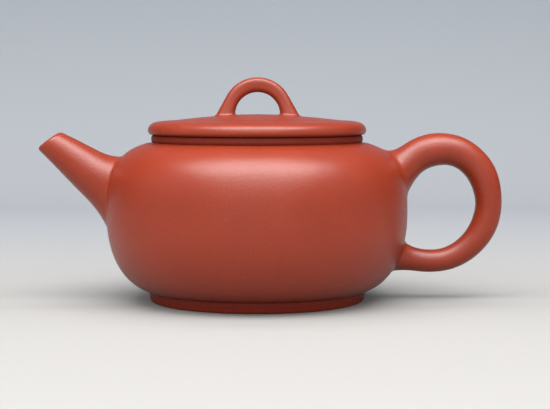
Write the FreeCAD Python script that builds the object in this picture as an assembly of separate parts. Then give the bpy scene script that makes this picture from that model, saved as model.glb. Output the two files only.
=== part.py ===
"""Slab-built clay teapot with a bridge knob: a pot and a lift-off lid, each made of separately formed
clay pieces that the potter joins with slip.

Millimetres. +Z is up, the spout points to -X and the handle to +X. The origin is on the pot's axis, in
the plane that the foot ring stands on.
"""

import FreeCAD, Part
import math
import os

V = FreeCAD.Vector
UP = V(0, 0, 1)
ORIGIN = V(0, 0, 0)
TINY = 1e-6

# ---- driving dimensions ------------------------------------------------------------------------------

# The belly's outline is two superellipse quarters that meet on the widest line.
BELLY_R = 52.0  # radius on the widest line
BELLY_Z = 31.1  # height of the widest line
SHOULDER_REACH = 27.2  # radial half axis of the quarter above it
SHOULDER_RISE = 24.4  # vertical half axis of the quarter above it
SHOULDER_POWER = 2.84  # 2 would be an ellipse; more is squarer
HULL_REACH = 19.8  # the same three for the quarter below it
HULL_DROP = 28.1
HULL_POWER = 2.28
WALL = 2.8  # thickness of the belly, shoulder and floor slabs

MOUTH_R = 31.0  # opening in the shoulder and the mouth ring
MOUTH_RING_R = 36.67  # outside of the mouth ring
MOUTH_RING_FOOT_R = 36.4  # where its outer face meets the shoulder
MOUTH_RING_WIDEST_Z = 56.1
MOUTH_RING_ROUND = 0.5  # rounding of its top edge
MOUTH_RING_BULGE_R = 4.0  # how round its outer face is, seen in section
SEAT_Z = 57.2  # plane where the lid rests on the mouth ring
SHOULDER_JOINT_R = 38.4  # edge of the shoulder slab, under the mouth ring's root
FLOOR_JOINT_R = 34.2  # edge of the floor slab, above the foot ring

FOOT_R = 37.35  # outside of the foot ring
FOOT_INNER_R = 33.2
FOOT_ROUND = 0.7  # rounding of the foot ring's two lower edges

LID_R = 37.65  # widest radius of the lid's rim
LID_WIDEST_Z = 58.9
LID_RIM_JOINT_R = 32.6  # where the rim coil meets the lid plate
LID_CROWN_Z = 64.2  # top of the lid plate, on the axis
LID_CROWN = ((9.0, 63.98), (16.0, 63.45), (22.0, 62.94), (27.0, 62.36), (30.5, 62.06))  # (r, z) on the top
LID_ROLL_START = (33.9, 61.78)  # where the rim starts to roll over
LID_ROLL_SLOPE = -0.16  # of the top there
LID_ROLL = ((36.45, 61.02), (37.35, 60.05))  # on the roll, down to the widest line
LID_UNDER = (37.3, 57.75)  # on the way in from the widest line to the seat
LID_UNDER_SLOPE = 0.1  # of the rim's underside where it comes to the seat
LID_SEAT_R = 36.3  # outer edge of the face that rests on the seat
LID_CEILING_Z = 61.0  # underside of the lid plate, on the axis
LID_CEILING_BEVEL = 1.4  # between the ceiling and the flange's inner face
FLANGE_R = 30.7  # outside of the locating flange, 0.3 inside the mouth
FLANGE_WALL = 2.8
FLANGE_DROP = 8.0  # how far it reaches below the seat
FLANGE_TAPER = 0.3  # how much narrower it is at its lower edge
FLANGE_THINNING = 0.1  # how much thinner it is there
FLANGE_ROUND = 0.8  # rounding of its lower edges
VENT_R = 0.85  # air hole in the middle of the lid
VENT_FLARE_R = 3.0  # its funnel on the underside
VENT_FLARE_DEPTH = 1.7

KNOB_X = 0.2  # the arch is set by eye, a little towards the handle
KNOB_SPRING_Z = 64.1  # centre of the arch's inner half circle
KNOB_GAP_R = 7.75  # radius of the finger gap under the arch
KNOB_R = 12.25  # radius of the arch's back
KNOB_TOP_Z = 76.95
KNOB_LEG_ANGLE = 61.0  # degrees from the top at which the back runs straight down into the leg
KNOB_HALF_DEPTH_TOP = 3.7
KNOB_HALF_DEPTH_BASE = 4.7
KNOB_SINK = 3.0  # how far the legs are modelled below the spring before the lid is cut away from them
KNOB_ROUND = 1.3  # rounding of the arch's long edges

SPOUT_BORE_R = 3.0  # parallel stretch of the bore behind the tip
SPOUT_BORE_LENGTH = 9.0
SPOUT_LIP_ROUND = 0.9

STRAINER_R = 11.0  # outside of the ball strainer
STRAINER_WALL = 1.8
STRAINER_HOLE_R = 0.9
STRAINER_SLOPE = -0.12  # of the line that the dome points along, into the pot
STRAINER_RINGS = ((0.0, 1), (17.0, 6), (34.0, 12), (51.0, 17))  # (angle from the middle, holes)

# Spout sections, tip first: (x, z) of the top and bottom of the outline, then the half width across.
# The first lies in the plane of the tip's mouth.
SPOUT_SECTIONS = (
    ((-68.15, 58.25), (-75.95, 52.50), 4.4),
    ((-62.30, 55.45), (-69.60, 46.05), 5.9),
    ((-56.50, 52.45), (-65.20, 41.40), 7.1),
    ((-51.20, 50.15), (-60.60, 36.70), 8.3),
    ((-46.50, 49.60), (-55.75, 31.30), 10.2),
    ((-40.50, 49.80), (-50.60, 22.60), 13.8),
)
# Bore sections behind the parallel stretch: (x, z) of the middle, then the radius.
BORE_SECTIONS = (
    ((-61.60, 47.05), 4.1),
    ((-56.20, 42.90), 5.4),
    ((-51.00, 39.60), 7.2),
    ((-45.50, 37.60), 8.8),
)

HANDLE_HALF_ACROSS = 8.4  # most across; its roots flare more in the outline than across it
# Handle sections from the upper root round to the lower root: (x, z) of the outer and inner outline.
HANDLE_SECTIONS = (
    ((40.80, 52.40), (49.60, 31.60)),
    ((46.50, 51.80), (52.60, 37.90)),
    ((52.30, 54.75), (56.70, 43.80)),
    ((64.10, 57.75), (64.30, 46.72)),
    ((77.20, 52.40), (71.80, 43.35)),
    ((84.35, 39.00), (75.65, 33.90)),
    ((82.00, 22.40), (73.10, 24.90)),
    ((69.20, 11.15), (65.40, 18.25)),
    ((59.60, 9.55), (59.80, 17.35)),
    ((51.60, 10.15), (53.40, 18.70)),
    ((42.50, 9.60), (48.00, 23.00)),
)


# ---- shared shapes -----------------------------------------------------------------------------------


def spline(points, start_tangent=None, end_tangent=None):
    """An edge through the points, with the given end directions if both are stated."""
    curve = Part.BSplineCurve()
    if start_tangent and end_tangent:
        curve.interpolate(Points=points, InitialTangent=start_tangent, FinalTangent=end_tangent)
    else:
        curve.interpolate(Points=points)
    return curve.toShape()


def line(a, b):
    return Part.LineSegment(a, b).toShape()


def turned(edges):
    """The solid that a closed outline in the XZ plane sweeps round the Z axis."""
    face = Part.Face(Part.Wire(Part.__sortEdges__(edges)))
    solid = face.revolve(ORIGIN, UP, 360)
    return solid if solid.Volume > 0 else solid.reversed()


def polygon(points):
    """The edges of a closed outline with straight sides, given as (r, z) pairs."""
    corners = [V(r, 0, z) for r, z in points]
    return [line(a, b) for a, b in zip(corners, corners[1:] + corners[:1])]


def ring(inner_r, outer_r, low_z, high_z):
    """A plain ring about the Z axis; an inner radius of 0 gives a disc."""
    outer = Part.makeCylinder(outer_r, high_z - low_z, V(0, 0, low_z), UP)
    if inner_r == 0:
        return outer
    return outer.cut(Part.makeCylinder(inner_r, high_z - low_z, V(0, 0, low_z), UP))


def one_solid(shape):
    """The only solid in the shape."""
    solids = shape.Solids
    assert len(solids) == 1, f"expected one solid, got {len(solids)}"
    return solids[0]


def belly_quarter(upper):
    """Reach, rise and power of the belly's upper or lower quarter, and +1 or -1 for its direction."""
    if upper:
        return SHOULDER_REACH, SHOULDER_RISE, SHOULDER_POWER, 1
    return HULL_REACH, HULL_DROP, HULL_POWER, -1


def flat_r(upper):
    """Radius inside which the belly's top or bottom is flat."""
    return BELLY_R - belly_quarter(upper)[0]


def belly_angle(r, upper, grow):
    """The outline's angle at radius r: 0 on the widest line, 90 degrees where it turns flat."""
    reach, _, power, _ = belly_quarter(upper)
    share = (r - flat_r(upper)) / (reach + grow)
    if share > 1 - TINY:
        return 0.0
    return math.acos(share ** (power / 2))


def belly_point(angle, upper, grow):
    """A point of the belly's outline moved outwards by grow."""
    reach, rise, power, way = belly_quarter(upper)
    across = (reach + grow) * math.cos(angle) ** (2 / power)
    along = (rise + grow) * math.sin(angle) ** (2 / power)
    return V(flat_r(upper) + across, 0, BELLY_Z + way * along)


def belly_tangent(angle, upper, grow):
    """The outline's direction with growing angle."""
    reach, rise, power, way = belly_quarter(upper)
    if angle < TINY:
        return V(0, 0, way)
    if angle > math.pi / 2 - TINY:
        return V(-1, 0, 0)
    exponent = 2 / power - 1
    across = -(reach + grow) * math.cos(angle) ** exponent * math.sin(angle)
    along = (rise + grow) * math.sin(angle) ** exponent * math.cos(angle)
    return V(across, 0, way * along).normalize()


def belly_curve(outer_r, inner_r, upper, grow=0.0):
    """The stretch of the belly's outline between two radii, the larger one first."""
    steps = 8
    first, last = belly_angle(outer_r, upper, grow), belly_angle(inner_r, upper, grow)
    angles = [first + (last - first) * i / steps for i in range(steps + 1)]
    points = [belly_point(a, upper, grow) for a in angles]
    return spline(points, belly_tangent(first, upper, grow), belly_tangent(last, upper, grow))


def belly_curves(radii, upper, grow=0.0):
    """The outline's stretches between neighbouring radii. Pieces that meet share whole stretches."""
    return [belly_curve(a, b, upper, grow) for a, b in zip(radii, radii[1:])]


def belly_at(r, upper, grow=0.0):
    """The outline's point at radius r."""
    return belly_point(belly_angle(r, upper, grow), upper, grow)


def belly_solid(upper_radii, lower_radii, grow=0.0):
    """The whole belly as one solid of revolution."""
    top, bottom = belly_at(upper_radii[-1], True, grow), belly_at(lower_radii[-1], False, grow)
    axis_top, axis_bottom = V(0, 0, top.z), V(0, 0, bottom.z)
    edges = belly_curves(upper_radii, True, grow) + belly_curves(lower_radii, False, grow)
    edges += [line(top, axis_top), line(axis_top, axis_bottom), line(axis_bottom, bottom)]
    return turned(edges)


def section(centre, along, half_along, half_across, points=12):
    """A closed oval wire about centre: along is a direction in the XZ plane, and across is Y."""
    oval = []
    for i in range(points):
        a = 2 * math.pi * i / points
        oval.append(centre + along * (half_along * math.cos(a)) + V(0, half_across * math.sin(a), 0))
    curve = Part.BSplineCurve()
    curve.interpolate(Points=oval, PeriodicFlag=True)
    return Part.Wire(curve.toShape())


def circle(centre, normal, radius):
    return Part.Wire(Part.Circle(centre, normal, radius).toShape())


def span(top, bottom):
    """Middle, direction and half length of the line between two (x, z) points."""
    a, b = V(top[0], 0, top[1]), V(bottom[0], 0, bottom[1])
    return (a + b) / 2, (a - b).normalize(), (a - b).Length / 2


def loft(wires):
    solid = Part.makeLoft(wires, True, False)
    return solid if solid.Volume > 0 else solid.reversed()


# ---- pot ---------------------------------------------------------------------------------------------

WALL_UPPER_RADII = [BELLY_R, SHOULDER_JOINT_R]
RING_UPPER_RADII = [MOUTH_RING_FOOT_R, MOUTH_R]
WALL_LOWER_RADII = [BELLY_R, FOOT_R, FLOOR_JOINT_R]
FLOOR_LOWER_RADII = [FLOOR_JOINT_R, FOOT_INNER_R, flat_r(False)]

POT_SKIN = belly_solid(
    WALL_UPPER_RADII + RING_UPPER_RADII + [flat_r(True)], WALL_LOWER_RADII + FLOOR_LOWER_RADII[1:]
)
POT_CAVITY = belly_solid(
    [BELLY_R - WALL, SHOULDER_JOINT_R, flat_r(True)], [BELLY_R - WALL, FLOOR_JOINT_R, flat_r(False)], -WALL
)


def spout_frame():
    """Middle of the tip's mouth, outward normal of its plane, and outward direction of the bore."""
    middle, across, _ = span(*SPOUT_SECTIONS[0][:2])
    normal = V(-across.z, 0, across.x)
    first_bore = V(BORE_SECTIONS[0][0][0], 0, BORE_SECTIONS[0][0][1])
    return middle, normal, (middle - first_bore).normalize()


def spout_bore():
    """The channel through the spout and the wall: a parallel stretch at the tip, then a widening one."""
    middle, _, outward = spout_frame()
    past_tip = 4.0
    parallel = Part.makeCylinder(
        SPOUT_BORE_R, SPOUT_BORE_LENGTH + past_tip, middle + outward * past_tip, outward * -1
    )
    centres = [middle - outward * SPOUT_BORE_LENGTH] + [V(x, 0, z) for (x, z), _ in BORE_SECTIONS]
    radii = [SPOUT_BORE_R] + [r for _, r in BORE_SECTIONS]
    wires = []
    for i, (centre, radius) in enumerate(zip(centres, radii)):
        before, after = centres[max(i - 1, 0)], centres[min(i + 1, len(centres) - 1)]
        run = outward * -1 if i == 0 else (after - before).normalize()
        wires.append(circle(centre, run, radius))
    return parallel.fuse(loft(wires))


def pot_wall():
    """The belly's wall, from the floor slab's edge to the shoulder slab's edge, open into the spout."""
    inner_upper, inner_lower = [BELLY_R - WALL, SHOULDER_JOINT_R], [BELLY_R - WALL, FLOOR_JOINT_R]
    edges = belly_curves(WALL_UPPER_RADII, True) + belly_curves(WALL_LOWER_RADII, False)
    edges += belly_curves(inner_upper, True, -WALL) + belly_curves(inner_lower, False, -WALL)
    for joint_r, upper in ((SHOULDER_JOINT_R, True), (FLOOR_JOINT_R, False)):
        edges.append(line(belly_at(joint_r, upper), belly_at(joint_r, upper, -WALL)))
    return one_solid(turned(edges).cut(spout_bore()))


def shoulder_slab():
    edges = belly_curves([SHOULDER_JOINT_R] + RING_UPPER_RADII, True)
    edges += belly_curves([SHOULDER_JOINT_R, MOUTH_R], True, -WALL)
    for edge_r in (SHOULDER_JOINT_R, MOUTH_R):
        edges.append(line(belly_at(edge_r, True), belly_at(edge_r, True, -WALL)))
    return one_solid(turned(edges))


def floor_slab():
    under, over = belly_at(flat_r(False), False), belly_at(flat_r(False), False, -WALL)
    edges = belly_curves(FLOOR_LOWER_RADII, False)
    edges += belly_curves([FLOOR_JOINT_R, flat_r(False)], False, -WALL)
    edges.append(line(belly_at(FLOOR_JOINT_R, False), belly_at(FLOOR_JOINT_R, False, -WALL)))
    axis_under, axis_over = V(0, 0, under.z), V(0, 0, over.z)
    edges += [line(under, axis_under), line(axis_under, axis_over), line(axis_over, over)]
    return one_solid(turned(edges))


def mouth_ring():
    """The band round the mouth that the lid presses on. Its outer face bulges a little."""
    edge_z = SEAT_Z - MOUTH_RING_ROUND
    sink = MOUTH_RING_BULGE_R - math.sqrt(MOUTH_RING_BULGE_R**2 - (edge_z - MOUTH_RING_WIDEST_Z) ** 2)
    foot = belly_at(MOUTH_RING_FOOT_R, True)
    edge = V(MOUTH_RING_R - sink, 0, edge_z)
    seat_edge = edge + V(-MOUTH_RING_ROUND, 0, MOUTH_RING_ROUND)
    diagonal = math.sqrt(0.5)
    corner_middle = edge + V(diagonal - 1, 0, diagonal) * MOUTH_RING_ROUND
    seat_inner = V(MOUTH_R, 0, SEAT_Z)
    edges = belly_curves(RING_UPPER_RADII, True)
    edges += [
        Part.Arc(foot, V(MOUTH_RING_R, 0, MOUTH_RING_WIDEST_Z), edge).toShape(),
        Part.Arc(edge, corner_middle, seat_edge).toShape(),
        line(seat_edge, seat_inner),
        line(seat_inner, belly_at(MOUTH_R, True)),
    ]
    return one_solid(turned(edges))


def foot_ring():
    """The ring the pot stands on. Its outer face is upright and both lower edges are rounded."""
    outer_top, inner_top = belly_at(FOOT_R, False), belly_at(FOOT_INNER_R, False)
    edges = [belly_curve(FOOT_R, FLOOR_JOINT_R, False), belly_curve(FLOOR_JOINT_R, FOOT_INNER_R, False)]
    edges += [
        line(outer_top, V(FOOT_R, 0, 0)),
        line(V(FOOT_R, 0, 0), V(FOOT_INNER_R, 0, 0)),
        line(V(FOOT_INNER_R, 0, 0), inner_top),
    ]
    block = turned(edges)
    standing_edges = [e for e in block.Edges if abs(e.BoundBox.ZMax) < TINY and len(e.Vertexes) == 1]
    return one_solid(block.makeFillet(FOOT_ROUND, standing_edges))


def spout():
    wires = []
    middle, normal, _ = spout_frame()
    for top, bottom, half_across in SPOUT_SECTIONS:
        centre, along, half_along = span(top, bottom)
        wires.append(section(centre, along, half_along, half_across))
    body = loft(wires).cut(POT_SKIN).cut(spout_bore())
    on_tip = 1e-4
    lip = [e for e in body.Edges if all(abs((v.Point - middle).dot(normal)) < on_tip for v in e.Vertexes)]
    outer_lip = max(lip, key=lambda e: e.Length)
    return one_solid(body.makeFillet(SPOUT_LIP_ROUND, [outer_lip]))


def handle():
    wires = []
    for outer, inner in HANDLE_SECTIONS:
        centre, along, half = span(outer, inner)
        wires.append(section(centre, along, half, min(half, HANDLE_HALF_ACROSS)))
    solids = loft(wires).cut(POT_SKIN).Solids
    return max(solids, key=lambda s: s.Volume)


def strainer_frame():
    """Middle of the ball strainer, on the cavity's surface behind the spout, and its inward direction."""
    (x0, z0), (x1, z1) = BORE_SECTIONS[-2][0], BORE_SECTIONS[-1][0]
    along = V(x1 - x0, 0, z1 - z0).normalize()
    path = line(V(x0, 0, z0) - along * WALL, V(x1, 0, z1) + along * STRAINER_R)
    inside = path.common(POT_CAVITY)
    middle = min((v.Point for v in inside.Vertexes), key=lambda p: p.x)
    return middle, V(1, 0, STRAINER_SLOPE).normalize()


def ball_strainer():
    """A pierced dome over the spout's hole: a hollow ball, cut off where it meets the cavity's surface."""
    middle, inward = strainer_frame()
    ball = Part.makeSphere(STRAINER_R, middle).cut(Part.makeSphere(STRAINER_R - STRAINER_WALL, middle))
    past = 1.0  # how far each drill reaches past the shell, inside and out
    drills = []
    side = inward.cross(V(0, 1, 0)).normalize()
    for tilt, count in STRAINER_RINGS:
        for i in range(count):
            turn, lean = 2 * math.pi * i / count, math.radians(tilt)
            away = side * math.cos(turn) + V(0, 1, 0) * math.sin(turn)
            direction = inward * math.cos(lean) + away * math.sin(lean)
            start = middle + direction * (STRAINER_R - STRAINER_WALL - past)
            drills.append(Part.makeCylinder(STRAINER_HOLE_R, STRAINER_WALL + 2 * past, start, direction))
    return one_solid(ball.cut(drills).common(POT_CAVITY))


# ---- lid ---------------------------------------------------------------------------------------------


def lid_blank():
    """Plate and rim as one blank with the air hole: a low crown, a flat margin, and a rim that rolls over
    to the seat."""
    vent_edge, roll_start = V(VENT_R, 0, LID_CROWN_Z), V(LID_ROLL_START[0], 0, LID_ROLL_START[1])
    roll_tangent = V(1, 0, LID_ROLL_SLOPE)
    on_crown = [V(r, 0, z) for r, z in LID_CROWN]
    crown = spline([vent_edge, *on_crown, roll_start], V(1, 0, 0), roll_tangent)
    widest = V(LID_R, 0, LID_WIDEST_Z)
    on_roll = [V(r, 0, z) for r, z in LID_ROLL]
    roll = spline([roll_start, *on_roll, widest], roll_tangent, V(0, 0, -1))
    seat_edge = V(LID_SEAT_R, 0, SEAT_Z)
    on_under = V(LID_UNDER[0], 0, LID_UNDER[1])
    under = spline([widest, on_under, seat_edge], V(0, 0, -1), V(-1, 0, -LID_UNDER_SLOPE))
    flange_inner = FLANGE_R - FLANGE_WALL
    seat_inner = V(flange_inner, 0, SEAT_Z)
    ceiling_edge = V(flange_inner - LID_CEILING_BEVEL, 0, SEAT_Z + LID_CEILING_BEVEL)
    ceiling_drop = LID_CEILING_Z - ceiling_edge.z
    ceiling_r = (ceiling_edge.x**2 + ceiling_drop**2) / (2 * ceiling_drop)
    half_x = ceiling_edge.x / 2
    half_z = LID_CEILING_Z - ceiling_r + math.sqrt(ceiling_r**2 - half_x**2)
    funnel_edge = V(VENT_FLARE_R, 0, LID_CEILING_Z)
    funnel_top = V(VENT_R, 0, LID_CEILING_Z + VENT_FLARE_DEPTH)
    return turned(
        [
            crown,
            roll,
            under,
            line(seat_edge, seat_inner),
            line(seat_inner, ceiling_edge),
            Part.Arc(ceiling_edge, V(half_x, 0, half_z), funnel_edge).toShape(),
            line(funnel_edge, funnel_top),
            line(funnel_top, vent_edge),
        ]
    )


LID_BLANK = lid_blank()


def lid_plate():
    return one_solid(LID_BLANK.common(ring(0, LID_RIM_JOINT_R, SEAT_Z - WALL, LID_CROWN_Z + WALL)))


def lid_rim():
    return one_solid(LID_BLANK.common(ring(LID_RIM_JOINT_R, 2 * LID_R, SEAT_Z - WALL, LID_CROWN_Z + WALL)))


def lid_flange():
    """The collar inside the mouth that keeps the lid in place while the pot is tipped."""
    inner_r, low_z = FLANGE_R - FLANGE_WALL, SEAT_Z - FLANGE_DROP
    low_outer_r = FLANGE_R - FLANGE_TAPER
    low_inner_r = low_outer_r - FLANGE_WALL + FLANGE_THINNING
    outline = polygon([(inner_r, SEAT_Z), (FLANGE_R, SEAT_Z), (low_outer_r, low_z), (low_inner_r, low_z)])
    block = turned(outline)
    low_edges = [e for e in block.Edges if abs(e.BoundBox.ZMax - low_z) < TINY]
    return one_solid(block.makeFillet(FLANGE_ROUND, low_edges))


def arch_outline(base_z):
    """The closed outline of the arch in front view: a round back that runs down into straight legs, and
    a finger gap with a half-round top."""
    lean = math.radians(KNOB_LEG_ANGLE)
    leg_x, leg_z = KNOB_R * math.sin(lean), KNOB_TOP_Z - KNOB_R + KNOB_R * math.cos(lean)
    foot_x = leg_x + (leg_z - base_z) / math.tan(lean)
    gap_top = V(0, 0, KNOB_SPRING_Z + KNOB_GAP_R)
    edges = [Part.Arc(V(-leg_x, 0, leg_z), V(0, 0, KNOB_TOP_Z), V(leg_x, 0, leg_z)).toShape()]
    edges.append(
        Part.Arc(V(-KNOB_GAP_R, 0, KNOB_SPRING_Z), gap_top, V(KNOB_GAP_R, 0, KNOB_SPRING_Z)).toShape()
    )
    for side in (-1, 1):
        leg, foot = V(side * leg_x, 0, leg_z), V(side * foot_x, 0, base_z)
        heel, spring = V(side * KNOB_GAP_R, 0, base_z), V(side * KNOB_GAP_R, 0, KNOB_SPRING_Z)
        edges += [line(leg, foot), line(foot, heel), line(heel, spring)]
    return edges


def bridge_knob():
    """The arch in front view, narrowed towards its top in side view, with its long edges rounded."""
    base_z = KNOB_SPRING_Z - KNOB_SINK
    front = Part.Face(Part.Wire(Part.__sortEdges__(arch_outline(base_z))))
    depth = 4 * KNOB_HALF_DEPTH_BASE
    arch = front.extrude(V(0, depth, 0))
    arch.translate(V(0, -depth / 2, 0))
    past = 2 * KNOB_R  # how far the narrowing wedge reaches past the arch on either side
    corners = [
        V(-past, -KNOB_HALF_DEPTH_BASE, base_z),
        V(-past, KNOB_HALF_DEPTH_BASE, base_z),
        V(-past, KNOB_HALF_DEPTH_TOP, KNOB_TOP_Z + KNOB_ROUND),
        V(-past, -KNOB_HALF_DEPTH_TOP, KNOB_TOP_Z + KNOB_ROUND),
    ]
    arch = arch.common(Part.Face(Part.makePolygon(corners + corners[:1])).extrude(V(2 * past, 0, 0)))
    above_base = base_z + KNOB_SINK / 3
    long_edges = [
        e
        for e in arch.Edges
        if e.BoundBox.ZMax > above_base and abs(e.CenterOfMass.y) > KNOB_HALF_DEPTH_TOP * 0.9
    ]
    arch = arch.makeFillet(KNOB_ROUND, long_edges)
    arch.translate(V(KNOB_X, 0, 0))
    return one_solid(arch.cut(LID_BLANK))


# ---- build -------------------------------------------------------------------------------------------


def main():
    nodes = {
        "floor_slab": floor_slab(),
        "pot_wall": pot_wall(),
        "shoulder_slab": shoulder_slab(),
        "mouth_ring": mouth_ring(),
        "foot_ring": foot_ring(),
        "spout": spout(),
        "handle": handle(),
        "ball_strainer": ball_strainer(),
        "lid_plate": lid_plate(),
        "lid_rim": lid_rim(),
        "lid_flange": lid_flange(),
        "bridge_knob": bridge_knob(),
    }
    os.makedirs("parts", exist_ok=True)
    for name, shape in nodes.items():
        assert shape.isValid(), name
        shape.exportStep(f"parts/{name}.step")
        box = shape.BoundBox
        print(
            f"{name}: {len(shape.Solids)} solid, {shape.Volume:.0f} mm3, "
            f"x {box.XMin:.1f} to {box.XMax:.1f}, y {box.YMin:.1f} to {box.YMax:.1f}, "
            f"z {box.ZMin:.1f} to {box.ZMax:.1f}"
        )


main()
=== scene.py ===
import math

import bmesh
import bpy
import numpy as np
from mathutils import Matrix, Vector


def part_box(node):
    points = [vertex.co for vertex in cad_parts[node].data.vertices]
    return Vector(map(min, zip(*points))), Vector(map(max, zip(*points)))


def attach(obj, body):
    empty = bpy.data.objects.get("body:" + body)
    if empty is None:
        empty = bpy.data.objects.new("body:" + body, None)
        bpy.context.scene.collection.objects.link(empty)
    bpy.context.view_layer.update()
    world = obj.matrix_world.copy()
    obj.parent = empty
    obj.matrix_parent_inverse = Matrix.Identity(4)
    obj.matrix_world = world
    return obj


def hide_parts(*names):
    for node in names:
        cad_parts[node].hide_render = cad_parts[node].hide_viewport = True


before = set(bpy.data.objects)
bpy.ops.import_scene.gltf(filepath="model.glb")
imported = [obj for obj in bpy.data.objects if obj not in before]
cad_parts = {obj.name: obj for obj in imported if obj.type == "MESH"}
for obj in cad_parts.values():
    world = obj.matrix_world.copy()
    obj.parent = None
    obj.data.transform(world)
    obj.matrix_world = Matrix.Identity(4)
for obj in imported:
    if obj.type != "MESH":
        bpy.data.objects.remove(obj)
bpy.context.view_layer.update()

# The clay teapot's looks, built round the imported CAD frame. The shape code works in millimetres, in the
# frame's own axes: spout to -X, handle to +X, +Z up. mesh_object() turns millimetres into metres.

MM = 0.001


# ---- sizes -------------------------------------------------------------------------------------------


def box_mm(node):
    """The lowest and the highest corner of a CAD node's box, in millimetres."""
    low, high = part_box(node)
    return np.array(low) / MM, np.array(high) / MM


_, WALL_HIGH = box_mm("pot_wall")
_, RING_HIGH = box_mm("mouth_ring")
_, FOOT_HIGH = box_mm("foot_ring")
_, RIM_HIGH = box_mm("lid_rim")
FLANGE_LOW, FLANGE_HIGH = box_mm("lid_flange")
KNOB_LOW, KNOB_HIGH = box_mm("bridge_knob")
STRAINER_LOW, STRAINER_HIGH = box_mm("ball_strainer")

# the belly's outline is two superellipse quarters, one above its widest line and one below
BELLY_R = WALL_HIGH[1]
BELLY_Z = 31.1  # height of the widest line
SHOULDER = {"reach": 27.2, "rise": 24.4, "power": 2.84, "way": 1}
HULL = {"reach": 19.8, "rise": 28.1, "power": 2.28, "way": -1}
WALL = 2.8
SHOULDER_JOINT_R = 38.4
FLOOR_JOINT_R = 34.2

SEAT_Z = RING_HIGH[2]  # where the lid rests on the mouth band
MOUTH_R = 31.0
RING_R = RING_HIGH[0] - 0.15
RING_FOOT_R = 36.4  # where the band's outer face meets the shoulder
RING_BULGE_R = 1.75  # how round its outer face is, seen in section
GROOVE_R, GROOVE_HALF, GROOVE_DEPTH = 36.9, 1.4, 0.3  # the line tooled round the band's root

FOOT_R = FOOT_HIGH[0]
FOOT_INNER_R = 33.2
FOOT_SINK = 0.6  # how far the foot ring reaches into the belly
FOOT_DRAFT = 0.45  # how much narrower its standing edge is

LID_R = RIM_HIGH[0]
LID_WIDEST_Z = 58.75
LID_JOINT_R = 32.6
LID_CEILING_Z = 61.0
LID_CEILING_BEVEL = 1.4  # between the ceiling and the collar's inner face
FLANGE_R = FLANGE_HIGH[0] - 2.2  # known fault: 2.2 narrower than the CAD's flange
FLANGE_WALL = 2.8
FLANGE_INNER_R = FLANGE_R - FLANGE_WALL
VENT_R = 0.85
FUNNEL_R, FUNNEL_DEPTH = 3.0, 1.7  # the vent's flare on the lid's underside

KNOB_X = (KNOB_LOW[0] + KNOB_HIGH[0]) / 2
KNOB_BACK_R = 12.25
KNOB_GAP_R = 7.75
KNOB_SPRING_Z = 64.1  # centre of the gap's half circle
KNOB_LEG_ANGLE = 61.0  # degrees from the top at which the back runs straight down into the leg

STRAINER_R = (STRAINER_HIGH[1] - STRAINER_LOW[1]) / 2
STRAINER_WALL = 1.8
STRAINER_HOLE_R = 0.95
STRAINER_SLOPE = -0.12  # of the line that the dome points along, into the pot
STRAINER_REACH = 100.0  # degrees from the dome's pole to its edge
STRAINER_RINGS = ((0, 1), (17, 6), (34, 12), (51, 17))  # (degrees from the pole, holes)

TURN_STEPS = 288  # steps round the pot's axis
TUBE_STEPS = 96  # steps round the spout, handle and knob


# ---- curves ------------------------------------------------------------------------------------------


def unit(v):
    return v / np.linalg.norm(v, axis=-1, keepdims=True)


def around(steps):
    """Evenly spaced angles of a full turn."""
    return np.arange(steps) * 2 * math.pi / steps


def lengths_along(points):
    """For each point of a polyline, how far along it the point is."""
    steps = np.linalg.norm(np.diff(points, axis=0), axis=1)
    return np.concatenate([[0], np.cumsum(steps)])


def cubic_through(knots, values):
    """The natural cubic spline through values at knots, as a function of arrays of knot positions."""
    knots = np.asarray(knots, float)
    values = np.asarray(values, float)
    flat = values.reshape(len(knots), -1)
    h = np.diff(knots)
    slopes = np.diff(flat, axis=0) / h[:, None]
    system = np.eye(len(knots))
    right = np.zeros_like(flat)
    for i in range(1, len(knots) - 1):
        system[i, i - 1 : i + 2] = h[i - 1], 2 * (h[i - 1] + h[i]), h[i]
        right[i] = 6 * (slopes[i] - slopes[i - 1])
    bend = np.linalg.solve(system, right)

    def at(t):
        t = np.asarray(t, float)
        i = np.clip(np.searchsorted(knots, t) - 1, 0, len(h) - 1)
        a, b = (t - knots[i])[..., None], (knots[i + 1] - t)[..., None]
        step = h[i][..., None]
        out = (bend[i] * b**3 + bend[i + 1] * a**3) / (6 * step)
        out += (flat[i] / step - bend[i] * step / 6) * b
        out += (flat[i + 1] / step - bend[i + 1] * step / 6) * a
        return out[..., 0] if values.ndim == 1 else out

    return at


def even(points, spacing):
    """The polyline through points, resampled so that its points are about spacing apart."""
    points = np.asarray(points, float)
    along = lengths_along(points)
    count = max(2, int(round(along[-1] / spacing)) + 1)
    at = np.linspace(0, along[-1], count)
    return np.stack([np.interp(at, along, points[:, k]) for k in range(points.shape[1])], axis=1)


def smooth_line(points, spacing, samples=60):
    """A spline through points, resampled so that its points are about spacing apart."""
    points = np.array(points)
    along = lengths_along(points)
    return even(cubic_through(along, points)(np.linspace(0, along[-1], samples)), spacing)


def chained(*runs):
    """Runs of points joined end to end, without the repeated points where they meet."""
    out = [np.asarray(runs[0], float)]
    for run in runs[1:]:
        run = np.asarray(run, float)
        if np.linalg.norm(run[0] - out[-1][-1]) < 1e-6:
            run = run[1:]
        out.append(run)
    return np.concatenate(out)


def corner_arc(before, here, after, radius, steps=6):
    """The arc of that radius which takes the place of the corner here, from the side of before."""
    u, v = unit(before - here), unit(after - here)
    half = math.acos(np.clip(u @ v, -1, 1)) / 2
    cut = radius / math.tan(half)
    middle = unit(u + v) * radius / math.sin(half) + here
    start, end = here + u * cut - middle, here + v * cut - middle
    sweep = math.pi - 2 * half
    share = np.linspace(0, 1, steps + 1)[:, None]
    return middle + (start * np.sin((1 - share) * sweep) + end * np.sin(share * sweep)) / math.sin(sweep)


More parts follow.
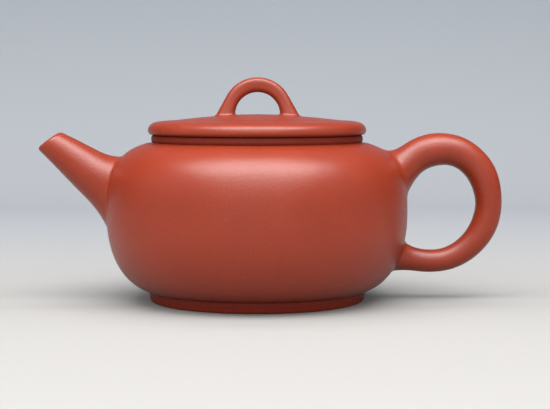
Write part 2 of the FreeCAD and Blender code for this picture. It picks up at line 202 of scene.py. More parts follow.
def rounded(corners, spacing=0.6):
    """An outline through (r, z, rounding) corners, each corner turned into an arc of that radius."""
    corners = np.array(corners, float)
    runs = []
    for i, (r, z, radius) in enumerate(corners):
        here = np.array([r, z])
        if radius == 0:
            run = here[None]
        else:
            run = corner_arc(corners[i - 1][:2], here, corners[i + 1][:2], radius)
        if runs:
            runs.append(even([runs[-1][-1], run[0]], spacing))
        runs.append(run)
    return chained(*runs)


# ---- the belly and the lid's top as surfaces ---------------------------------------------------------


def belly_line(outer_r, inner_r, quarter, grow=0.0, spacing=0.7):
    """Points of the belly's outline between two radii, the larger one first."""
    reach, rise = quarter["reach"] + grow, quarter["rise"] + grow
    flat = BELLY_R - quarter["reach"]
    power = quarter["power"]

    def angle(r):
        return math.acos(min(1.0, (r - flat) / reach) ** (power / 2))

    angles = np.linspace(angle(outer_r), angle(inner_r), 400)
    across = reach * np.cos(angles) ** (2 / power)
    along = rise * np.sin(angles) ** (2 / power)
    return even(np.stack([flat + across, BELLY_Z + quarter["way"] * along], axis=1), spacing)


class Belly:
    """The belly's outer skin: value() is below 0 inside it."""

    def terms(self, p):
        """The reach, rise and power of each point's quarter, and how far across and along it each is."""
        upper = p[:, 2] > BELLY_Z
        reach, rise, power = (
            np.where(upper, SHOULDER[key], HULL[key]) for key in ("reach", "rise", "power")
        )
        across = np.maximum(np.hypot(p[:, 0], p[:, 1]) - (BELLY_R - reach), 1e-6) / reach
        along = np.maximum(np.abs(p[:, 2] - BELLY_Z), 1e-9) / rise
        return reach, rise, power, across, along

    def value(self, p):
        _, _, power, across, along = self.terms(p)
        return across**power + along**power - 1

    def gradient(self, p):
        reach, rise, power, across, along = self.terms(p)
        r = np.hypot(p[:, 0], p[:, 1])
        outward = power / reach * across ** (power - 1)
        upward = power / rise * along ** (power - 1) * np.where(p[:, 2] > BELLY_Z, 1, -1)
        return np.stack([outward * p[:, 0] / r, outward * p[:, 1] / r, upward], axis=1)


class LidTop:
    """The lid's upper face, from the axis out to the start of the rim's roll."""

    def __init__(self, outline):
        radii, heights = zip(*outline)
        self.height = cubic_through(radii, heights)

    def value(self, p):
        return p[:, 2] - self.height(np.hypot(p[:, 0], p[:, 1]))

    def gradient(self, p):
        r = np.maximum(np.hypot(p[:, 0], p[:, 1]), 1e-6)
        slope = (self.height(r + 0.01) - self.height(r - 0.01)) / 0.02
        return np.stack([-slope * p[:, 0] / r, -slope * p[:, 1] / r, np.ones(len(p))], axis=1)


def snapped(surface, p):
    """Points moved onto the surface by a few Newton steps."""
    for _ in range(6):
        g = surface.gradient(p)
        p = p - g * (surface.value(p) / (g * g).sum(axis=1))[:, None]
    return p


# ---- tubes that grow out of a surface ----------------------------------------------------------------


class Tube:
    """A tapering tube whose sections stand across the plane Y = 0: (x, z) of the outer and of the inner
    line, and the half width in Y. power 2 makes its sections ovals, more makes them squarer."""

    def __init__(self, outer, inner, half_width, power=2.0):
        outer, inner = np.array(outer, float), np.array(inner, float)
        knots = lengths_along((outer + inner) / 2)
        knots /= knots[-1]
        self.outer, self.inner = cubic_through(knots, outer), cubic_through(knots, inner)
        self.half_width = cubic_through(knots, half_width)
        self.power = power
        self.turns = around(TUBE_STEPS)

    def ring(self, t):
        """Skin points at t, 0 to 1 along the tube, from the outer line round past the inner line."""
        t = np.broadcast_to(np.asarray(t, float), self.turns.shape)
        outer, inner = self.outer(t), self.inner(t)
        middle, arm = (outer + inner) / 2, (outer - inner) / 2
        cosine, sine = np.cos(self.turns), np.sin(self.turns)
        size = (np.abs(cosine) ** self.power + np.abs(sine) ** self.power) ** (-1 / self.power)
        xz = middle + arm * (cosine * size)[:, None]
        return np.stack([xz[:, 0], self.half_width(t) * sine * size, xz[:, 1]], axis=1)

    def between(self, t_from, t_to, count):
        """Rings of the plain skin between t_from and t_to, which may differ round the tube."""
        return [self.ring(t_from + (t_to - t_from) * k) for k in np.linspace(0, 1, count + 1)[1:-1]]

    def crossing(self, surface, t_in, t_out):
        """Where the skin passes through the surface, between t_in inside it and t_out outside it."""
        low, high = np.full(TUBE_STEPS, float(t_in)), np.full(TUBE_STEPS, float(t_out))
        for _ in range(40):
            middle = (low + high) / 2
            inside = surface.value(self.ring(middle)) < 0
            low, high = np.where(inside, middle, low), np.where(inside, high, middle)
        return (low + high) / 2

    def root(self, surface, t_in, t_out, reach):
        """The smoothed-in root: where the plain skin starts, and the rings from there down to the surface,
        running out along it by reach and dipping under it at the end."""
        t_cross = self.crossing(surface, t_in, t_out)
        edge = self.ring(t_cross)
        nudge = math.copysign(1e-3, t_out - t_in)
        speed = np.linalg.norm(self.ring(t_cross + nudge) - edge, axis=1) / nudge
        t_start = t_cross + reach / speed
        start = self.ring(t_start)
        down = unit(self.ring(t_start - nudge) - start)
        forward = np.roll(edge, -1, axis=0) - np.roll(edge, 1, axis=0)
        outward = unit(np.cross(unit(surface.gradient(edge)), unit(forward)))
        if ((edge - edge.mean(axis=0)) * outward).sum() < 0:
            outward = -outward
        end = snapped(surface, edge + outward * reach)
        normal = unit(surface.gradient(end))
        back = edge - end
        back = unit(back - normal * (back * normal).sum(axis=1)[:, None])
        pull = reach * 2 / 3
        rings = []
        for k in np.linspace(0, 1, 11):
            near_start = start * (1 - k) + 3 * (start + down * pull) * k
            near_end = 3 * (end + back * pull) * (1 - k) + end * k
            rings.append(near_start * (1 - k) ** 2 + near_end * k**2)
        rings.append(end - back * 0.3 - normal * 0.5)
        return t_start, rings


def bent(a, b, c, steps=6):
    """Rings that go from a to c in a curve that heads for b."""
    return [a * (1 - k) ** 2 + 2 * b * k * (1 - k) + c * k**2 for k in np.linspace(0, 1, steps + 1)]


# ---- meshes ------------------------------------------------------------------------------------------

FORMED_DEPTH = 0.1
FORMED_PHASE = {"pot": 0.3, "lid": 1.9}


def hand_formed(p, body):
    """Presses the points in towards the axis, unevenly and by no more than FORMED_DEPTH, as hand-beaten
    clay is. The press is one field for a whole body, so the joins between its pieces stay closed."""
    phase = FORMED_PHASE[body]
    angle = np.arctan2(p[:, 1], p[:, 0])
    height = p[:, 2] / 10
    wave = np.sin(3 * angle + 0.7 * height + phase)
    wave += 0.7 * np.sin(5 * angle - 1.1 * height + 2.1 * phase)
    wave += 0.5 * np.sin(2 * angle + 1.9 * height + 0.4)
    press = FORMED_DEPTH / 2 * (1 + wave / (1 + 0.7 + 0.5))
    r = np.maximum(np.hypot(p[:, 0], p[:, 1]), 1e-9)
    share = np.minimum(press / r, 0.5) * np.minimum(r / 12, 1)
    out = p.copy()
    out[:, :2] *= (1 - share)[:, None]
    return out


def linked(name, data):
    """A new object in the scene, for a mesh, a lamp or a camera."""
    obj = bpy.data.objects.new(name, data)
    bpy.context.scene.collection.objects.link(obj)
    return obj


def mesh_object(name, points, faces):
    """A new object whose points are given in millimetres."""
    mesh = bpy.data.meshes.new(name)
    mesh.from_pydata([tuple(p) for p in np.asarray(points, float) * MM], [], faces)
    return linked(name, mesh)


def turn_faces_out(mesh):
    work = bmesh.new()
    work.from_mesh(mesh)
    bmesh.ops.recalc_face_normals(work, faces=work.faces)
    work.to_mesh(mesh)
    work.free()


def stand_for(obj, node, body):
    """The object takes the place of a CAD node and rides on its body."""
    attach(obj, body)
    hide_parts(node)


def make_piece(name, node, body, slot, points, faces):
    """A closed smooth piece of hand-formed clay that stands for a CAD node."""
    piece = mesh_object(name, hand_formed(np.asarray(points, float), body), faces)
    turn_faces_out(piece.data)
    piece.data.shade_smooth()
    piece.data.set_sharp_from_angle(angle=math.radians(35))
    stand_for(piece, node, body)
    return piece


def subtract(obj, tool):
    cut = obj.modifiers.new("cut", "BOOLEAN")
    cut.object, cut.operation, cut.solver = tool, "DIFFERENCE", "EXACT"


def modified_mesh(obj):
    """The object's mesh with its modifiers applied."""
    bpy.context.view_layer.update()
    evaluated = obj.evaluated_get(bpy.context.evaluated_depsgraph_get())
    return bpy.data.meshes.new_from_object(evaluated)


def skin(rings, looped):
    """Points and faces of a skin through rings of points. looped joins the last ring to the first;
    otherwise a fan closes each end."""
    count = len(rings[0])
    points = np.concatenate(rings)
    faces = []
    pairs = [(i, i + 1) for i in range(len(rings) - 1)]
    if looped:
        pairs.append((len(rings) - 1, 0))
    for a, b in pairs:
        for i in range(count):
            j = (i + 1) % count
            faces.append((a * count + i, a * count + j, b * count + j, b * count + i))
    if not looped:
        for ring in (0, len(rings) - 1):
            centre = len(points)
            points = np.concatenate([points, [rings[ring].mean(axis=0)]])
            faces += [(ring * count + i, ring * count + (i + 1) % count, centre) for i in range(count)]
    return points, faces


def turned(outline):
    """Points and faces that an outline of (r, z) points makes when it turns about the axis. An outline
    whose ends are on the axis makes a closed body, any other closes on itself."""
    outline = np.asarray(outline, float)
    on_axis = outline[0][0] < 1e-9 and outline[-1][0] < 1e-9
    turns = around(TURN_STEPS)
    cosine, sine = np.cos(turns), np.sin(turns)
    ring_points = outline[1:-1] if on_axis else outline
    rings = [np.stack([r * cosine, r * sine, np.full(TURN_STEPS, z)], axis=1) for r, z in ring_points]
    points, faces = skin(rings, looped=not on_axis)
    if on_axis:
        points[-2], points[-1] = (0, 0, outline[0][1]), (0, 0, outline[-1][1])
    return points, faces


# ---- pieces of the pot -------------------------------------------------------------------------------

# the spout's two outlines from its tip to where they are inside the belly, and the channel down its middle
SPOUT_UPPER = [
    (-68.15, 58.25), (-62.3, 55.45), (-56.5, 52.45), (-51.2, 50.15), (-46.5, 49.6), (-40.5, 49.8),
]
SPOUT_LOWER = [
    (-75.95, 52.5), (-69.6, 46.05), (-65.2, 41.4), (-60.6, 36.7), (-55.75, 31.3), (-50.6, 22.6),
]
SPOUT_HALF_WIDTH = [4.4, 5.9, 7.1, 8.3, 9.7, 12.4]
BORE_LINE = [
    (-72.05, 55.375), (-65.01, 49.77), (-61.6, 47.05), (-56.2, 42.9), (-51.0, 39.6), (-45.5, 37.6),
]
BORE_RADII = [3.0, 3.0, 4.1, 5.4, 7.2, 8.8]
LIP_ROUND, THROAT_ROUND = 1.3, 0.35

# the handle's two outlines from its upper root round to its lower root
HANDLE_OUTER = [
    (40.8, 52.4), (46.5, 51.8), (52.3, 54.75), (57.8, 57.1), (64.1, 57.75), (71.4, 56.15),
    (77.2, 52.4), (81.9, 46.6), (84.35, 39.0), (84.55, 30.7), (82.0, 22.4), (76.8, 15.9),
    (69.2, 11.15), (59.6, 9.55), (51.6, 10.15), (42.5, 9.6),
]
HANDLE_INNER = [
    (49.6, 31.6), (52.6, 37.9), (56.7, 43.8), (60.3, 45.95), (64.3, 46.72), (68.4, 45.95),
    (71.8, 43.35), (74.45, 39.0), (75.65, 33.9), (75.15, 29.8), (73.1, 24.9), (69.7, 20.9),
    (65.4, 18.25), (59.8, 17.35), (53.4, 18.7), (48.0, 23.0),
]
HANDLE_MOST_HALF_WIDTH = 8.4


def bore_rings(grow=0.0):
    """Rings of the spout's channel from its mouth, which lies in the tip's plane, down into the pot."""
    turns = around(TUBE_STEPS)
    steps = lengths_along(BORE_LINE)
    centre_at, radius_at = cubic_through(steps, BORE_LINE), cubic_through(steps, BORE_RADII)
    rings = []
    for s in np.linspace(0, steps[-1], 30):
        run = unit(centre_at(s + 0.01) - centre_at(s - 0.01))
        if s == 0:
            tip = unit(np.subtract(SPOUT_UPPER[0], SPOUT_LOWER[0]))
            across = tip / abs(run[0] * tip[1] - run[1] * tip[0])
        else:
            across = np.array([-run[1], run[0]])
        radius = (BORE_RADII[0] if s <= steps[1] else radius_at(s)) + grow
        xz = centre_at(s) + np.outer(np.cos(turns), across) * radius
        rings.append(np.stack([xz[:, 0], radius * np.sin(turns), xz[:, 1]], axis=1))
    return rings


def make_pot_wall():
    """The round wall. Known fault: the hole behind the spout is not in the finished mesh, so the wall
    closes off the spout's channel."""
    outer_low = belly_line(BELLY_R, FLOOR_JOINT_R, HULL)[::-1]
    outer_high = belly_line(BELLY_R, SHOULDER_JOINT_R, SHOULDER)
    inner_high = belly_line(BELLY_R - WALL, SHOULDER_JOINT_R, SHOULDER, -WALL, 1.4)[::-1]
    inner_low = belly_line(BELLY_R - WALL, FLOOR_JOINT_R, HULL, -WALL, 1.4)
    outline = chained(outer_low, outer_high, inner_high, inner_low)
    wall = make_piece("belly_wall", "pot_wall", "pot", "fired_clay", *turned(outline))
    plug = mesh_object("plug", *skin(bore_rings(grow=0.05)[8:], looped=False))
    subtract(wall, plug)
    wall.data = modified_mesh(wall)
    wall.modifiers.clear()
    bpy.data.objects.remove(plug)
    return wall


def make_shoulder():
    outer = belly_line(SHOULDER_JOINT_R, MOUTH_R, SHOULDER, spacing=0.2)
    across = np.clip((outer[:, 0] - GROOVE_R) / GROOVE_HALF, -1, 1)
    outer[:, 1] -= GROOVE_DEPTH * (1 - across**2) ** 2
    inner = belly_line(SHOULDER_JOINT_R, MOUTH_R, SHOULDER, -WALL)[::-1]
    return make_piece("shoulder_top", "shoulder_slab", "pot", "fired_clay", *turned(chained(outer, inner)))


def make_mouth_ring():
    """The band round the mouth: a bulging outer face and a rounded top."""
    root_z = belly_line(SHOULDER_JOINT_R, RING_FOOT_R, SHOULDER)[-1][1]
    low_z = root_z - 0.4  # sunk into the shoulder
    widest_z = SEAT_Z - 1.5
    heights = np.linspace(low_z, SEAT_Z - 1.15, 12)
    bulge = np.sqrt(RING_BULGE_R**2 - (heights - widest_z) ** 2) - RING_BULGE_R
    band = np.stack([RING_R + bulge, heights], axis=1)
    top_corner = (band[-1][0] - 0.1, SEAT_Z, 0.9)
    top = rounded([(*band[-1], 0), top_corner, (MOUTH_R, SEAT_Z, 0.6), (MOUTH_R, low_z, 0)], 0.3)
    return make_piece("mouth_band", "mouth_ring", "pot", "fired_clay", *turned(chained(band, top)))


def make_floor():
    flat_r = BELLY_R - HULL["reach"] + 0.01  # inside it the belly's outline is level
    under = belly_line(FLOOR_JOINT_R, flat_r, HULL)[::-1]
    over = belly_line(FLOOR_JOINT_R, flat_r, HULL, -WALL)
    under_disc = even([(0, under[0][1]), under[0]], 1.5)
    over_disc = even([over[-1], (0, over[-1][1])], 1.5)
    outline = chained(under_disc, under, over, over_disc)
    return make_piece("floor_disc", "floor_slab", "pot", "fired_clay_inside", *turned(outline))


def make_foot_ring():
    outer_top = belly_line(BELLY_R, FOOT_R, HULL)[-1][1] + FOOT_SINK
    inner_top = belly_line(BELLY_R, FOOT_INNER_R, HULL)[-1][1] + FOOT_SINK
    corners = [
        (FOOT_INNER_R, inner_top, 0),
        (FOOT_INNER_R, 0, 0.7),
        (FOOT_R - FOOT_DRAFT, 0, 0.9),
        (FOOT_R, outer_top * 0.6, 2.0),
        (FOOT_R - 0.08, outer_top, 0),
    ]
    return make_piece("foot_band", "foot_ring", "pot", "fired_clay", *turned(rounded(corners, 0.4)))


def make_spout():
    """The tube's outer skin, its rounded lip, and the channel inside it, as one looped skin."""
    tube = Tube(SPOUT_UPPER, SPOUT_LOWER, SPOUT_HALF_WIDTH)
    t_start, fillet = tube.root(Belly(), 1.0, 0.3, reach=1.0)
    tip = tube.ring(0.0)
    t_lip = LIP_ROUND * 1e-3 / np.linalg.norm(tube.ring(1e-3) - tip, axis=1)
    on_face = tip + unit(tip.mean(axis=0) - tip) * LIP_ROUND
    channel = bore_rings()
    face_edge = channel[0] + unit(channel[0] - channel[0].mean(axis=0)) * THROAT_ROUND
    throat = channel[0] + unit(channel[1] - channel[0]) * THROAT_ROUND
    rings = fillet[::-1]
    rings += tube.between(t_start, t_lip, 60)
    rings += bent(tube.ring(t_lip), tip, on_face)
    rings.append((on_face + face_edge) / 2)
    rings += bent(face_edge, channel[0], throat)
    rings += channel[1:-3]
    return make_piece("spout_tube", "spout", "pot", "fired_clay", *skin(rings, looped=True))


def make_handle():
    across = np.linalg.norm(np.subtract(HANDLE_OUTER, HANDLE_INNER), axis=1)
    tube = Tube(HANDLE_OUTER, HANDLE_INNER, np.minimum(across / 2, HANDLE_MOST_HALF_WIDTH))
    t_upper, upper = tube.root(Belly(), 0.0, 0.16, reach=2.2)
    t_lower, lower = tube.root(Belly(), 1.0, 0.86, reach=1.8)
    rings = upper[::-1] + tube.between(t_upper, t_lower, 150) + lower
    return make_piece("handle_ear", "handle", "pot", "fired_clay", *skin(rings, looped=False))


def strainer_axes():
    """The dome's centre, and its side, level and inward directions."""
    centre = np.array([STRAINER_LOW[0] + 0.3, 0, (STRAINER_LOW[2] + STRAINER_HIGH[2]) / 2])
    inward = unit(np.array([1, 0, STRAINER_SLOPE]))
    return centre, np.stack([[-inward[2], 0, inward[0]], [0, 1, 0], inward])


def strainer_shell():
    tilts = np.radians(np.linspace(0, STRAINER_REACH, 34))
    arc = np.stack([np.sin(tilts), np.cos(tilts)], axis=1)
    points, faces = turned(np.concatenate([arc * STRAINER_R, arc[::-1] * (STRAINER_R - STRAINER_WALL)]))
    centre, axes = strainer_axes()
    return mesh_object("dome", points @ axes + centre, faces)


def strainer_drills():
    """One object with a rod for each hole, in rings round the dome's pole."""
    centre, (side, level, inward) = strainer_axes()
    ring = around(16)
    points, faces = [], []
    for tilt, count in STRAINER_RINGS:
        lean = math.radians(tilt)
        for turn in around(count):
            away = side * math.cos(turn) + level * math.sin(turn)
            direction = inward * math.cos(lean) + away * math.sin(lean)
            u = unit(np.cross(direction, [0.3, 0.2, 0.9]))
            v = np.cross(direction, u)
            circle = (np.outer(np.cos(ring), u) + np.outer(np.sin(ring), v)) * STRAINER_HOLE_R
            ends = (STRAINER_R - STRAINER_WALL - 1, STRAINER_R + 1)
            rod_points, rod_faces = skin([centre + direction * end + circle for end in ends], looped=False)
            faces += [tuple(len(points) + k for k in face) for face in rod_faces]
            points += list(rod_points)
    drills = mesh_object("drills", points, faces)
    turn_faces_out(drills.data)
    return drills


def make_strainer():
    """The pierced dome behind the spout, with a fine remesh that was meant to soften the holes' edges.
    Known fault: only crumbs of the dome are left in the finished mesh."""
    dome, drills = strainer_shell(), strainer_drills()
    subtract(dome, drills)
    remesh = dome.modifiers.new("even mesh", "REMESH")
    remesh.mode, remesh.voxel_size = "VOXEL", 0.22 * MM
    smooth = dome.modifiers.new("soft edges", "SMOOTH")
    smooth.factor, smooth.iterations = 0.5, 3
    mesh = modified_mesh(dome)
    for helper in (dome, drills):
        bpy.data.objects.remove(helper)
    mesh.shade_smooth()
    strainer = linked("strainer_dome", mesh)
    stand_for(strainer, "ball_strainer", "pot")
    return strainer


# ---- pieces of the lid -------------------------------------------------------------------------------

ROLL_START = (33.9, 61.78)
CROWN = [(0.0, 64.2), (9.0, 63.98), (16.0, 63.45), (22.0, 62.94), (27.0, 62.36), (30.5, 62.06), ROLL_START]
MIRRORED = (-9.0, 63.98)  # keeps the crown level where it crosses the axis
PAST_ROLL_START = (36.0, 61.3)  # keeps it sloping on into the roll
LID_TOP = LidTop([MIRRORED, *CROWN, PAST_ROLL_START])
ROLL_OVER = [(35.35, 61.48), (36.55, 60.88), (37.37, 59.9), (LID_R, LID_WIDEST_Z)]
ROLL_UNDER = [(LID_R, LID_WIDEST_Z), (37.5, 58.1), (37.15, 57.6), (36.55, 57.32), (35.9, SEAT_Z)]


def lid_top_line(outer_r, inner_r, count):
    return [(r, float(LID_TOP.height(r))) for r in np.linspace(outer_r, inner_r, count)]


def make_lid_plate():
    """The plate: crown above, a shallow vault below, and the air hole through its middle."""
    top = lid_top_line(LID_JOINT_R, VENT_R + 0.35, 70)
    edge_r, edge_z = FLANGE_INNER_R - LID_CEILING_BEVEL, SEAT_Z + LID_CEILING_BEVEL
    drop = LID_CEILING_Z - edge_z
    vault_r = (edge_r**2 + drop**2) / (2 * drop)
    radii = np.linspace(FUNNEL_R + 0.4, edge_r, 30)
    ceiling = np.stack([radii, LID_CEILING_Z - vault_r + np.sqrt(vault_r**2 - radii**2)], axis=1)
    hole_corners = [
        (*top[-1], 0),
        (VENT_R, top[-1][1], 0.3),
        (VENT_R, LID_CEILING_Z + FUNNEL_DEPTH, 0.4),
        (FUNNEL_R, LID_CEILING_Z, 0.3),
        (*ceiling[0], 0),
    ]
    seat = [(edge_r, edge_z), (FLANGE_INNER_R, SEAT_Z), (LID_JOINT_R, SEAT_Z)]
    outline = chained(top, rounded(hole_corners, 0.3), ceiling, seat)
    return make_piece("lid_disc", "lid_plate", "lid", "fired_clay", *turned(outline))


def make_lid_rim():
    """The rim, which rolls over from the lid's top and back in to the seat."""
    top = lid_top_line(LID_JOINT_R, ROLL_START[0], 6)
    over = smooth_line([top[-1], *ROLL_OVER], 0.3)
    under = smooth_line(ROLL_UNDER, 0.3)
    outline = chained(top, over, under, [(LID_JOINT_R, SEAT_Z)])
    return make_piece("lid_edge", "lid_rim", "lid", "fired_clay", *turned(outline))


def make_lid_flange():
    low_z = FLANGE_LOW[2]
    corners = [
        (FLANGE_R, SEAT_Z, 0),
        (FLANGE_R - 0.3, low_z, 0.9),
        (FLANGE_INNER_R + 0.4, low_z, 0.9),
        (FLANGE_INNER_R, SEAT_Z, 0),
    ]
    return make_piece("lid_collar", "lid_flange", "lid", "fired_clay_inside", *turned(rounded(corners)))


def on_circle(radius, centre_z, degrees):
    """The (x, z) point of a circle round (0, centre_z), that many degrees from its top."""
    angle = math.radians(degrees)
    return np.array([radius * math.sin(angle), centre_z + radius * math.cos(angle)])


def knob_lines():
    """Half of the arch's back and of the gap under it, from the top down into the lid."""
    back_z = KNOB_HIGH[2] - KNOB_BACK_R
    back, gap = [], []
    for degrees in np.linspace(0, KNOB_LEG_ANGLE, 6)[:-1]:
        back.append(on_circle(KNOB_BACK_R, back_z, degrees))
        gap.append(on_circle(KNOB_GAP_R, KNOB_SPRING_Z, degrees * 1.12))
    leg_start = on_circle(KNOB_BACK_R, back_z, KNOB_LEG_ANGLE)
    lean = math.radians(KNOB_LEG_ANGLE)
    leg = np.array([math.cos(lean), -math.sin(lean)])
    for run, gap_degrees, below_spring in ((2.4, 73.074, 0), (4.8, 81.32, 0), (7.2, 90, 0), (9.6, 90, 2)):
        back.append(leg_start + leg * run)
        gap.append(on_circle(KNOB_GAP_R, KNOB_SPRING_Z - below_spring, gap_degrees))
    return np.array(back), np.array(gap)


def mirrored(half, way):
    """A half that starts in the middle, with its mirror image before it."""
    return np.concatenate([(half * way)[:0:-1], half])


def make_knob():
    """The arch, as a tube from its left foot over the top to its right foot."""
    back, gap = knob_lines()
    drop = (KNOB_HIGH[2] - back[:, 1]) / (KNOB_HIGH[2] - KNOB_SPRING_Z)
    half_width = 2.75 + 1.75 * np.clip(drop, 0, 1.05)
    left = np.array([-1, 1])
    shift = np.array([KNOB_X, 0])
    outer, inner = mirrored(back, left) + shift, mirrored(gap, left) + shift
    tube = Tube(outer, inner, mirrored(half_width, 1), power=3.1)
    t_left, left_root = tube.root(LID_TOP, 0.0, 0.3, reach=1.1)
    t_right, right_root = tube.root(LID_TOP, 1.0, 0.7, reach=1.1)
    rings = left_root[::-1] + tube.between(t_left, t_right, 90) + right_root
    return make_piece("knob_arch", "bridge_knob", "lid", "fired_clay", *skin(rings, looped=False))


# ---- materials ---------------------------------------------------------------------------------------


class Nodes:
    """A short way to add and link shader nodes."""

    def __init__(self, name):
        self.material = bpy.data.materials.new(name)
        self.material.use_nodes = True
        self.tree = self.material.node_tree
        self.shader = self.tree.nodes["Principled BSDF"]
        self.place = self.add("ShaderNodeTexCoord").outputs["Object"]

    def add(self, kind, inputs=(), **settings):
        node = self.tree.nodes.new(kind)
        for key, value in settings.items():
            setattr(node, key, value)
        for key, value in dict(inputs).items():
            self.feed(node.inputs[key], value)
        return node

    def feed(self, socket, value):
        if isinstance(value, bpy.types.NodeSocket):
            self.tree.links.new(value, socket)
        else:
            socket.default_value = value

    def noise(self, size_mm, detail=3.0, place=None):
        """Noise whose blotches are about size_mm across."""
        inputs = {"Vector": place or self.place, "Scale": 1 / (size_mm * MM), "Detail": detail}
        inputs["Roughness"] = 0.55
        return self.add("ShaderNodeTexNoise", inputs).outputs["Fac"]

    def ramp(self, value, low, high, to_low=0.0, to_high=1.0):
        inputs = {"Value": value, "From Min": low, "From Max": high, "To Min": to_low, "To Max": to_high}
        return self.add("ShaderNodeMapRange", inputs, clamp=True).outputs["Result"]

    def math(self, operation, a, b):
        return self.add("ShaderNodeMath", {0: a, 1: b}, operation=operation).outputs[0]

    def mix(self, share, a, b):
        """Colour a, with that share of colour b."""
        return self.add("ShaderNodeMix", {0: share, 6: a, 7: b}, data_type="RGBA").outputs[2]

    def stretched(self, factors):
        inputs = {"Vector": self.place, "Scale": factors}
        return self.add("ShaderNodeMapping", inputs).outputs["Vector"]

    def bump(self, height, depth_mm, under=None):
        """The normal for relief of that height, on top of the relief under it."""
        inputs = {"Height": height, "Distance": depth_mm * MM, "Strength": 1.0}
        if under:
            inputs["Normal"] = under
        return self.add("ShaderNodeBump", inputs).outputs["Normal"]

    def grains(self, size_mm, share, offset):
        """Scattered sand grains: 1 in a grain, 0 elsewhere. offset moves them away from other grains."""
        shift = {0: self.place, 1: (offset, offset, offset)}
        moved = self.add("ShaderNodeVectorMath", shift, operation="ADD").outputs[0]
        cells = self.add("ShaderNodeTexVoronoi", {"Vector": moved, "Scale": 1 / (size_mm * MM)})
        lot = self.add("ShaderNodeSeparateColor", {"Color": cells.outputs["Color"]}).outputs[0]
        chosen = self.math("LESS_THAN", lot, share)
        near = self.ramp(cells.outputs["Distance"], 0.25, 0.5, 1.0, 0.0)
        return self.math("MULTIPLY", chosen, near)


PALE_GRAIN = (0.175, 0.059, 0.031, 1)


def clay(name, tint, rough, coarse, shine=0.37):
    """Fired zisha: fine sandy grains in an even red-brown body. rough is the lowest and highest roughness,
    coarse scales the relief, which is low where the clay was burnished, and shine is its specular level."""
    n = Nodes(name)

    def shade(factor):
        return (*[c * factor for c in tint], 1)

    cloud = n.ramp(n.noise(11), 0.3, 0.7)
    colour = n.mix(cloud, shade(0.96), shade(1.04))
    speckle = n.ramp(n.noise(0.8, detail=4.0), 0.3, 0.7)
    colour = n.mix(n.ramp(speckle, 0, 1, 0, 0.3), colour, shade(0.86))
    pale = n.grains(size_mm=0.42, share=0.08, offset=0.0)
    colour = n.mix(n.ramp(pale, 0, 1, 0, 0.22), colour, PALE_GRAIN)
    deep = n.grains(size_mm=0.5, share=0.07, offset=0.37)
    colour = n.mix(n.ramp(deep, 0, 1, 0, 0.3), colour, shade(0.35))
    n.feed(n.shader.inputs["Base Color"], colour)
    n.feed(n.shader.inputs["Roughness"], n.ramp(n.noise(1.6, detail=4.0), 0.3, 0.7, *rough))
    n.shader.inputs["Specular IOR Level"].default_value = shine

    facets = n.bump(n.noise(6.0, detail=2.0), 0.025 * coarse)
    wiped = n.bump(n.noise(2.5, place=n.stretched((0.5, 0.5, 1.2))), 0.006 * coarse, facets)
    sand = n.bump(n.noise(0.8, detail=4.0), 0.062 * coarse, wiped)
    proud = n.bump(pale, 0.006 * coarse, sand)
    n.feed(n.shader.inputs["Normal"], proud)
    return n.material


def paper():
    """The stage's pale paper: warm on the table and cooler behind, with painted shade that darkens it up
    the backdrop and far aside, where the lamps' light falls off.
    """
    n = Nodes("paper")
    split = n.add("ShaderNodeSeparateXYZ", {"Vector": n.place})
    back = n.ramp(split.outputs["Y"], 0.05, 0.3)
    up = n.ramp(split.outputs["Z"], 0.0, 0.5)
    aside = n.ramp(n.math("ABSOLUTE", split.outputs["X"], 0.0), 0.35, 0.75)
    colour = n.mix(back, (0.146, 0.142, 0.1365, 1), (0.152, 0.155, 0.162, 1))
    # painted shade: the paper darkens up the backdrop, where the lamps' light falls off
    colour = n.mix(up, colour, (0.041, 0.054, 0.066, 1))
    # painted shade: the paper darkens far aside at the back
    colour = n.mix(n.math("MULTIPLY", aside, back), colour, (0.03, 0.034, 0.038, 1))
    n.feed(n.shader.inputs["Base Color"], colour)
    n.shader.inputs["Roughness"].default_value = 0.8
    n.shader.inputs["Specular IOR Level"].default_value = 0.2
    return n.material


def give(obj, *materials):
    obj.data.materials.clear()
    for material in materials:
        obj.data.materials.append(material)


def second_material_inside(wall):
    """The wall's inner faces, whose normals point in to the belly's middle, take its second material."""
    for face in wall.data.polygons:
        x, y, z = np.array(face.center) / MM
        outward = (face.normal[0] * x + face.normal[1] * y) / math.hypot(x, y)
        if outward + face.normal[2] * (z - BELLY_Z) / 30 < 0:
            face.material_index = 1


# ---- stage, light and camera -------------------------------------------------------------------------


def make_stage():
    """A pale table top that sweeps up into a backdrop, as one sheet."""
    near_y, turn_y, far_y = -2500.0, 420.0, 900.0
    half_width, tall = 1600.0, 1500.0
    radius = far_y - turn_y
    line = [(near_y, 0.0), (turn_y, 0.0)]
    for angle in np.linspace(0.05, math.pi / 2, 24):
        line.append((turn_y + radius * math.sin(angle), radius - radius * math.cos(angle)))
    line.append((far_y, tall))
    points = [(x, y, z) for y, z in line for x in (-half_width, half_width)]
    faces = [(2 * i, 2 * i + 1, 2 * i + 3, 2 * i + 2) for i in range(len(line) - 1)]
    sweep = mesh_object("sweep", points, faces)
    sweep.data.shade_smooth()
    give(sweep, paper())


def softbox(name, place, aim, size, power, colour, reflected):
    """A rectangular lamp; only one that is reflected shows as a highlight on the clay."""
    light = bpy.data.lights.new(name, "AREA")
    light.shape = "RECTANGLE"
    light.size, light.size_y = size[0] * MM, size[1] * MM
    light.energy, light.color = power, colour
    lamp = linked(name, light)
    lamp.location = [c * MM for c in place]
    direction = Vector([a - b for a, b in zip(aim, place)])
    lamp.rotation_euler = direction.to_track_quat("-Z", "Y").to_euler()
    lamp.visible_camera = False
    lamp.visible_glossy = reflected


NEUTRAL, WARM, WARMER, COOL = (1.0, 0.985, 0.97), (1.0, 0.98, 0.96), (1.0, 0.97, 0.95), (0.90, 0.96, 1.0)


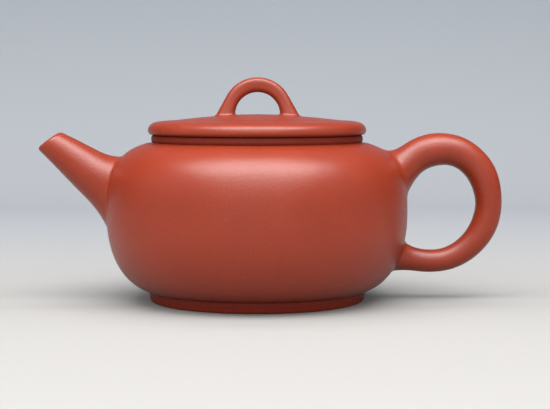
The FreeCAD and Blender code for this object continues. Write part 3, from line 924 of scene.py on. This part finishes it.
def make_lights():
    """Two softboxes, one overhead and one above the front, make the highlights. The other lamps and the
    room only fill in, and have no reflection of their own."""
    low = (0, 0, 30)
    softbox("overhead", (15, -255, 620), (15, -254, 0), (860, 460), 15.6, NEUTRAL, reflected=True)
    softbox("front_top", (15, -640, 500), (0, 0, 45), (760, 260), 2.4, NEUTRAL, reflected=True)
    softbox("front_fill", (-40, -900, 190), low, (900, 360), 7.8, WARMER, reflected=False)
    softbox("left_fill", (-850, -150, 380), low, (800, 500), 7.2, WARM, reflected=False)
    softbox("right_fill", (850, -150, 380), low, (800, 500), 4.8, WARM, reflected=False)
    softbox("backdrop_wash", (0, 500, 1300), (0, 900, 350), (1400, 400), 22.0, COOL, reflected=False)
    room = bpy.data.worlds.new("room")
    room.use_nodes = True
    background = room.node_tree.nodes["Background"]
    background.inputs["Color"].default_value = (0.9, 0.93, 0.97, 1)
    background.inputs["Strength"].default_value = 2.2
    room.cycles_visibility.glossy = False
    bpy.context.scene.world = room


def make_camera():
    """In front of the pot at about the height of its lid, looking slightly down."""
    place = (6.2, -528.8, 71.85)
    tilt = 0.0733  # radians below level
    lens = bpy.data.cameras.new("camera")
    lens.sensor_width, lens.lens = 36.0, 100.16
    lens.clip_start, lens.clip_end = 0.02, 20.0
    camera = linked("camera", lens)
    camera.location = [c * MM for c in place]
    camera.rotation_euler = (math.pi / 2 - tilt, 0, 0)
    bpy.context.scene.camera = camera


# ---- build -------------------------------------------------------------------------------------------

burnished = clay("burnished_clay", (0.109, 0.0106, 0.0025), (0.35, 0.42), coarse=1.0)
bare = clay("bare_clay", (0.107, 0.0146, 0.0057), (0.62, 0.80), coarse=2.0)
# The foot band and the mouth band take this darker, duller clay. Its darkness is partly the clay's own tone
# and partly painted shade: the shade under the belly's overhang and under the lid's edge, painted into the
# colour.
dark_clay_and_shade = clay("darker_clay_and_painted_shade", (0.062, 0.0056, 0.0019), (0.5, 0.62), coarse=1.4, shine=0.14)

wall = make_pot_wall()
give(wall, burnished, bare)
second_material_inside(wall)
# painted shade: the foot band and the mouth band take the darker clay, which holds their shade in its
# colour
for piece in (make_foot_ring(), make_mouth_ring()):
    give(piece, dark_clay_and_shade)
for piece in (make_shoulder(), make_spout(), make_handle()):
    give(piece, burnished)
for piece in (make_lid_plate(), make_lid_rim(), make_knob()):
    give(piece, burnished)
for piece in (make_floor(), make_strainer(), make_lid_flange()):
    give(piece, bare)

make_stage()
make_lights()
make_camera()
bpy.context.scene.view_settings.view_transform = "Standard"
